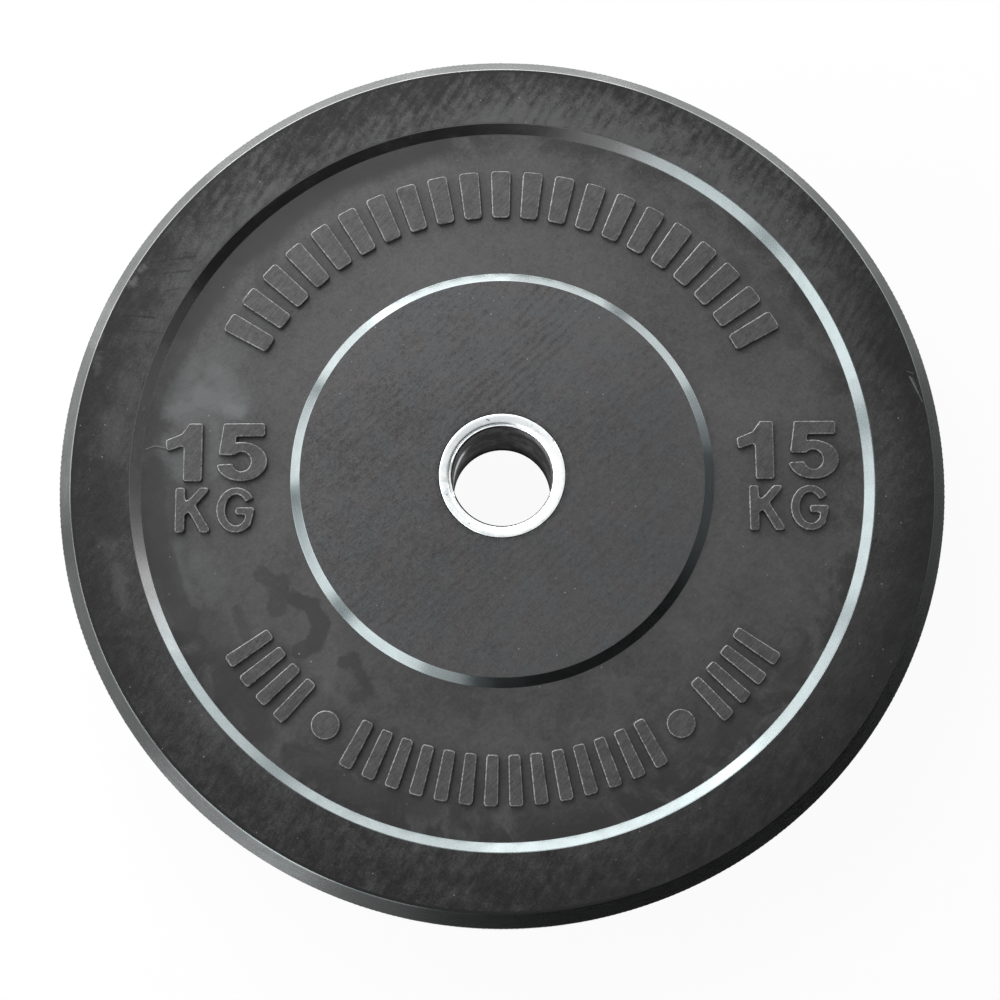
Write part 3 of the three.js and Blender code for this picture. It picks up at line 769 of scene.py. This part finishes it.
# Weight marks: figures over letters, drawn in shares of their own height
marks = {
    "figureHeight": 29.7 * mm, "letterHeight": 22.8 * mm, "rowGap": 3.6 * mm, "figureGap": 7 * mm,
    "letterGap": 2.6 * mm, "centre": 144.8 * mm, "drop": 0.3 * mm, "rounding": 1 * mm,
}
oneCorners = np.array([
    [0.31, 0], [0.62, 0], [0.62, 1], [0.4, 1], [0.27, 0.82], [0, 0.71], [0.02, 0.52], [0.31, 0.63]])
kayCorners = np.array([
    [0, 0], [0.2, 0], [0.2, 0.38], [0.29, 0.48], [0.57, 0], [0.8, 0],
    [0.43, 0.61], [0.78, 1], [0.54, 1], [0.2, 0.62], [0.2, 1], [0, 1]])


# Part of an ellipse: its centre plus its two radii times the cosine and sine of a running turn
def ellipseArc(centre, radii, fromTurn, toTurn, steps):
    angle = np.linspace(fromTurn, toTurn, steps) * turn
    return np.array(centre) + np.array(radii) * np.stack([np.cos(angle), np.sin(angle)], axis=1)


def fiveCorners():
    inner = ellipseArc((0.44, 0.335), (0.165, 0.175), 0.38, -0.46, 40)
    outer = ellipseArc((0.44, 0.335), (0.43, 0.335), -0.44, 0.29, 56)
    return np.concatenate([
        [[0.13, 1], [0.05, 0.455]], inner, [[0.02, 0.28]], outer, [[0.34, 0.78], [0.83, 0.78], [0.83, 1]]])


def geeCorners():
    outer = ellipseArc((0.43, 0.5), (0.43, 0.5), 0.09, 0.88, 60)
    inner = ellipseArc((0.43, 0.5), (0.25, 0.355), 0.88, 0.09, 48)
    return np.concatenate([outer, [[0.84, 0.55], [0.42, 0.55], [0.42, 0.4], [0.66, 0.4]], inner])


def characterRow(characters, height, gap, baseline, centreX):
    widths = [share * height for _, share in characters]
    left = centreX - (sum(widths) + gap * (len(widths) - 1)) / 2
    row = []
    for (corners, _), width in zip(characters, widths):
        row.append(roundCorners(corners * height + [left, baseline], marks["rounding"], 5))
        left += width + gap
    return row


def makeMarks():
    v = marks
    figures = [(oneCorners, 0.62), (fiveCorners(), 0.87)]
    letters = [(kayCorners, 0.8), (geeCorners(), 0.84)]
    foot = -(v["figureHeight"] + v["rowGap"] + v["letterHeight"]) / 2 - v["drop"]
    figureFoot = foot + v["letterHeight"] + v["rowGap"]
    outlines = []
    for centreX in (-v["centre"], v["centre"]):
        outlines += characterRow(figures, v["figureHeight"], v["figureGap"], figureFoot, centreX)
        outlines += characterRow(letters, v["letterHeight"], v["letterGap"], foot, centreX)
    makeRelief("weight_marks", outlines)


makeMarks()

# Plain raised ribs along an upper and a lower arc, and two round dots
ribs = {
    "upper": {"inset": 21 * mm, "length": 25 * mm, "width": 9.4 * mm, "gap": 6.2 * mm, "round": 1.5 * mm},
    "lower": {"inset": 17.5 * mm, "length": 25 * mm, "width": 6.2 * mm, "gap": 5.4 * mm, "round": 1.2 * mm},
    "upperHalf": math.radians(62), "lowerHalf": math.radians(57), "dotTurn": math.radians(35), "dot": 14 * mm,
}


def ribOutline(size, middle, angle):
    inner, outer = middle - size["length"] / 2, middle + size["length"] / 2
    wide = size["width"] / 2 / middle
    corners = np.array([
        [inner, -inner * wide], [outer, -outer * wide], [outer, outer * wide], [inner, inner * wide]])
    cosine, sine = math.cos(angle), math.sin(angle)
    return roundCorners(corners, size["round"], 7) @ np.array([[cosine, sine], [-sine, cosine]])


def ribsBetween(size, start, end):
    middle = webOuter - size["inset"] - size["length"] / 2
    step = (size["width"] + size["gap"]) / middle
    count = math.floor((end - start) / step) + 1
    first = (start + end) / 2 - step * (count - 1) / 2
    return [ribOutline(size, middle, first + step * i) for i in range(count)]


def makeRibs():
    v = ribs
    upper, lower = v["upper"], v["lower"]
    top, bottom = turn / 4, -turn / 4
    middle = webOuter - lower["inset"] - lower["length"] / 2
    clear = ((v["dot"] + lower["width"]) / 2 + lower["gap"]) / middle
    left, right = bottom - v["dotTurn"], bottom + v["dotTurn"]
    outlines = ribsBetween(upper, top - v["upperHalf"], top + v["upperHalf"])
    for start, end in ((bottom - v["lowerHalf"], left - clear), (left + clear, right - clear),
                       (right + clear, bottom + v["lowerHalf"])):
        outlines += ribsBetween(lower, start, end)
    for angle in (left, right):
        centre = (middle * math.cos(angle), middle * math.sin(angle))
        outlines.append(ellipseArc(centre, (v["dot"] / 2, v["dot"] / 2), 0, 1, 49)[:-1])
    makeRelief("plain_ribs", outlines)


makeRibs()

# The steel sleeve: a collar rolls inwards along a quarter ellipse to the lip of the tube inside it.
# Over the upper left a groove parts the two, as deep as a pair of smooth steps of the angle says.
def makeSleeve():
    v = sleeve
    top = faceHeight - v["setback"]
    outerRadius = v["bore"] + v["wall"]
    landRadius = outerRadius - v["land"]
    edge = np.array([[0, -0.5], [-0.1, -0.12], [-0.4, 0]]) * mm + [outerRadius, top]
    bend = np.linspace(0, turn / 4 * 0.8, 13)
    ends = []
    for depth in (v["leadIn"], v["leadOut"]):
        leadIn = np.stack([landRadius - (landRadius - v["rollEnd"]) * np.sin(bend) / math.sin(bend[-1]),
                           top - depth * (1 - np.cos(bend))], axis=1)
        lip = np.array(v["lip"]) * mm + [v["mouth"], leadIn[-1, 1]]
        ends.append(np.concatenate([edge, leadIn, lip]))
    outline = np.concatenate([(ends[1] * [1, -1])[::-1], ends[0]])
    carved = np.zeros(len(outline))
    carved[-len(v["grooveShares"]):] = v["grooveShares"]
    carved *= v["groove"]
    both = cutLongSides(np.column_stack([outline, carved]), v["longestStep"], v["shortStep"])
    radius, height, carved = both[:, 0, None], both[:, 1, None], both[:, 2, None]
    angle = np.linspace(0, turn, v["angles"], endpoint=False)[None, :]
    shown = np.interp(np.degrees(angle), v["grooveTurns"], [0, 1, 1, 0])
    shown = shown ** 2 * (3 - 2 * shown)
    points = turned(radius, height + carved * shown + middleHeight, angle)
    middle = (radius + np.roll(radius, -1, axis=0)) / 2
    inBore = middle < v["mouth"] - 0.02 * mm + 0.25 * mm * np.clip(-2 * np.sin(angle), 0, 1)
    makePiece("steel_sleeve", points.reshape(-1, 3), ringQuads(len(both), v["angles"]),
              [brightSteel, darkBoreSteel], finishOfQuad=inBore.astype(int).ravel(),
              standsFor="hub_sleeve")


makeSleeve()

buriedFinishes = {"anchor_ring": scaleSteel, "weld_bead_front": weldMetal, "weld_bead_back": weldMetal}
for nodeName, finish in buriedFinishes.items():
    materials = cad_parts[nodeName].data.materials
    materials.clear()
    materials.append(finish)
print("bumper plate: buried steel finished")


# Pale floor and a white room, which camera and mirror rays see as white paper. The floor dims where
# the plate's shadow falls. Low softboxes stand round the upper left, one hangs above, and a black
# card across the lower right keeps the slopes that face it dark.
studio = {
    "floorSize": 40, "floorTone": 0.8, "paperShare": 0.94, "roomLight": 0.26,
    "aim": Vector((0, 0, faceTop)),
    "card": {"from": 257, "to": 380, "steps": 40, "near": 0.36, "distance": 1.5, "lift": 0.002,
             "height": 1.5, "tones": (0.03, 0.34, 0.2)},
    "softboxes": [
        # azimuth, elevation, distance, width, height, radiance
        (35, 20, 1.5, 0.36, 0.44, 2.9), (48, 12, 1.4, 0.56, 0.44, 3.3), (77, 9, 1.2, 0.56, 0.36, 4),
        (105, 8, 1.1, 0.64, 0.36, 6.4), (129, 12, 1.1, 0.5, 0.36, 5.2), (158, 19, 1.1, 0.48, 0.35, 5.6),
        (192, 27, 1.2, 0.58, 0.4, 5.8), (229, 26, 1.3, 0.58, 0.46, 5.3), (252, 24, 1.3, 0.26, 0.16, 1.6),
        (236, 2, 1.3, 0.34, 0.24, 3.9)],
    "above": {"place": Vector((-0.42, 0.86, 0.98)), "size": (0.85, 0.65), "radiance": 6.2},
    # lights near the table round the upper left, face up: azimuth, radiance
    "tableLights": [(48, 0.5), (64, 1.6), (88, 3.2), (114, 3.4), (142, 2), (165, 1.4), (200, 0.6),
                    (229, 2.8)],
    "tableReach": 0.39, "tableHeight": 0.012, "tableSize": 0.2, "tableInward": 0.85, "tableRise": 0.2,
}


def startMatt(name):
    finish = bpy.data.materials.new(name)
    finish.use_nodes = True
    finish.node_tree.nodes.clear()
    return finish, finish.node_tree


def paperFinish(tone, share):
    finish, tree = startMatt("paleFloor")
    matt = addNode(tree, "ShaderNodeBsdfDiffuse", {"Color": grey(tone)}).outputs[0]
    paper = addNode(tree, "ShaderNodeEmission", {"Color": grey(1), "Strength": 1}).outputs[0]
    surface = addNode(tree, "ShaderNodeMixShader", {0: times(seenRays(tree), share), 1: matt, 2: paper})
    addNode(tree, "ShaderNodeOutputMaterial", {"Surface": surface.outputs[0]})
    return finish


def seenRays(tree):
    rays = addNode(tree, "ShaderNodeLightPath").outputs
    mirror = larger(rays["Is Glossy Ray"], rays["Is Transmission Ray"])
    return larger(rays["Is Camera Ray"], mirror)


def stageSheet(name, points, faces, finish):
    mesh = bpy.data.meshes.new(name)
    mesh.from_pydata(points, [], faces)
    mesh.materials.append(finish)
    sheet = addObject(name, mesh)
    return sheet


def makeFloor():
    half = studio["floorSize"] / 2
    corners = [(-half, -half, 0), (half, -half, 0), (half, half, 0), (-half, half, 0)]
    stageSheet("floor", corners, [(0, 1, 2, 3)], paperFinish(studio["floorTone"], studio["paperShare"]))


# The card greys towards both its ends: the angle round the plate gives the tone
def cardFinish(middle, afterRight, afterBelow):
    finish, tree = startMatt("blackCard")
    x, y, _ = axesOf(addNode(tree, "ShaderNodeTexCoord").outputs["Object"])
    angle = calc("ARCTAN2", y, x)
    tone = plus(remap(angle, math.radians(-27), math.radians(0), middle, afterRight),
                remap(angle, math.radians(-82), math.radians(-103), 0, afterBelow))
    matt = addNode(tree, "ShaderNodeBsdfDiffuse", {"Color": tone}).outputs[0]
    addNode(tree, "ShaderNodeOutputMaterial", {"Surface": matt})
    return finish


# The card lies on the floor from its near edge outwards and then stands up: a path of radius and
# height, carried part of the way round the plate. Only mirror rays meet it.
def makeCard():
    v = studio["card"]
    radius = np.array([v["near"], v["distance"], v["distance"]])
    height = np.array([v["lift"], v["lift"], v["height"]])
    angle = np.radians(np.linspace(v["from"], v["to"], v["steps"]))[:, None]
    points = turned(radius, height, angle).reshape(-1, 3)
    i, j = np.meshgrid(np.arange(v["steps"] - 1), np.arange(2), indexing="ij")
    first = i * 3 + j
    quads = np.stack([first, first + 1, first + 4, first + 3], axis=-1).reshape(-1, 4)
    card = stageSheet("blackCard", points.tolist(), quads.tolist(), cardFinish(*v["tones"]))
    card.visible_camera = card.visible_diffuse = card.visible_shadow = False


def addSoftbox(name, place, aim, width, height, radiance):
    lamp = bpy.data.lights.new(name, "AREA")
    lamp.shape = "RECTANGLE"
    lamp.size, lamp.size_y = width, height
    lamp.energy = radiance * math.pi * width * height
    box = addObject(name, lamp)
    box.location = place
    box.rotation_euler = (aim - place).to_track_quat("-Z", "Y").to_euler()
    box.visible_camera = False


# The direction of an azimuth and an elevation in degrees, one metre long
def towards(azimuth, elevation=0):
    a, e = math.radians(azimuth), math.radians(elevation)
    return Vector((math.cos(e) * math.cos(a), math.cos(e) * math.sin(a), math.sin(e)))


def makeLights():
    v = studio
    for index, (azimuth, elevation, distance, width, height, radiance) in enumerate(v["softboxes"]):
        place = v["aim"] + distance * towards(azimuth, elevation)
        addSoftbox(f"lowSoftbox{index}", place, v["aim"], width, height, radiance)
    for index, (azimuth, radiance) in enumerate(v["tableLights"]):
        place = v["tableReach"] * towards(azimuth) + Vector((0, 0, v["tableHeight"]))
        aim = v["tableInward"] * place + Vector((0, 0, v["tableRise"]))
        addSoftbox(f"tableLight{index}", place, aim, v["tableSize"], v["tableSize"], radiance)
    above = v["above"]
    addSoftbox("softboxAbove", above["place"], v["aim"], *above["size"], above["radiance"])
    world = bpy.data.worlds.new("whiteRoom")
    world.use_nodes = True
    tree = world.node_tree
    feed(tree.nodes["Background"], {0: grey(1), 1: remap(seenRays(tree), 0, 1, v["roomLight"], 1)})
    bpy.context.scene.world = world


# The photograph looks down on the face from over its lower half, tipped by some 12 degrees
viewpoint = {"x": -1.1 * mm, "y": -229.3 * mm, "rise": 1054.4 * mm, "tip": math.radians(11.6), "lens": 76.97}


def makeCamera():
    v = viewpoint
    camera = addObject("camera", bpy.data.cameras.new("camera"))
    camera.data.lens = v["lens"]
    camera.location = (v["x"], v["y"], high[2] + v["rise"])
    camera.rotation_euler = (v["tip"], 0, 0)
    bpy.context.scene.camera = camera


makeFloor()
makeCard()
makeLights()
makeCamera()
bpy.context.scene.view_settings.view_transform = "Standard"
print("bumper plate: floor, lights and camera placed")
